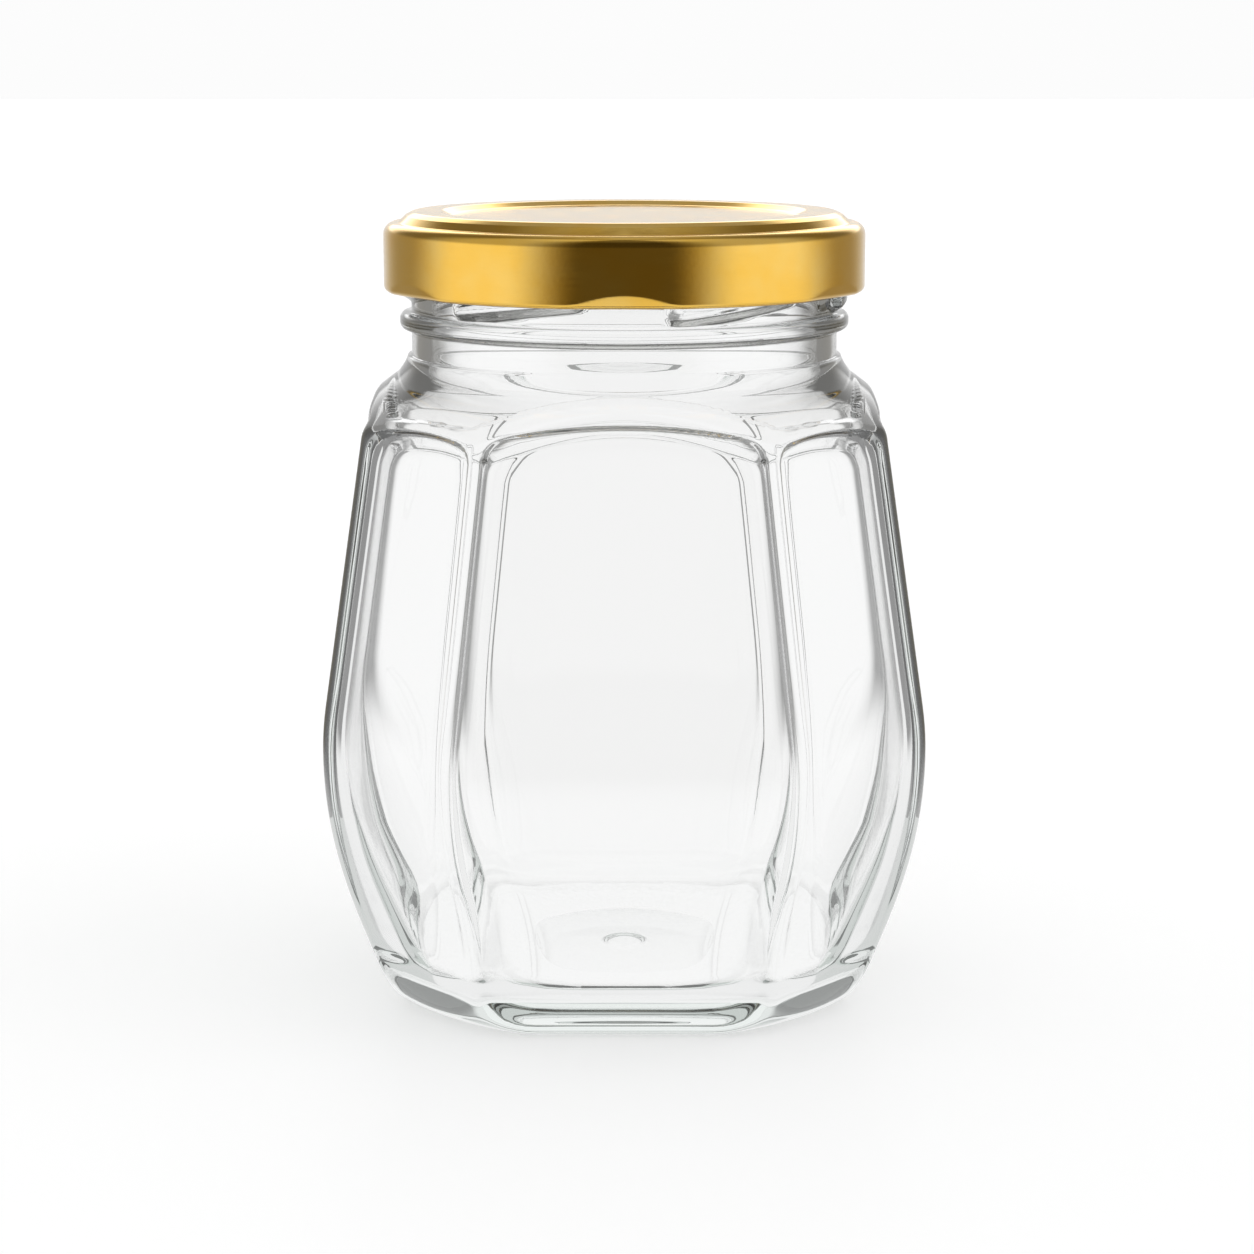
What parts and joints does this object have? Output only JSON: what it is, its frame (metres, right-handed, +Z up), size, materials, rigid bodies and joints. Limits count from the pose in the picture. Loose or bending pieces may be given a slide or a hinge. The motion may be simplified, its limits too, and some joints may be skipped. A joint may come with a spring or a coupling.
{
  "type": "octagonal glass jar",
  "caption": "Empty bulged octagonal food jar in clear glass with a gold twist-off metal lid on a round threaded neck.",
  "frame": {"origin": "middle of the foot, on the plane that the jar stands on", "axes": "+Z up along the jar's axis, -Y out of the front wide face, +X to the right of someone looking at the front"},
  "size_m": [0.0816, 0.0816, 0.1091],
  "materials": {
    "clear_glass": "clear polished soda-lime glass",
    "gold_lacquer": "satin gold lacquer over tinplate"
  },
  "bodies": {
    "root": {"glass_jar": "clear_glass", "twist_lid": "gold_lacquer"}
  },
  "joints": []
}
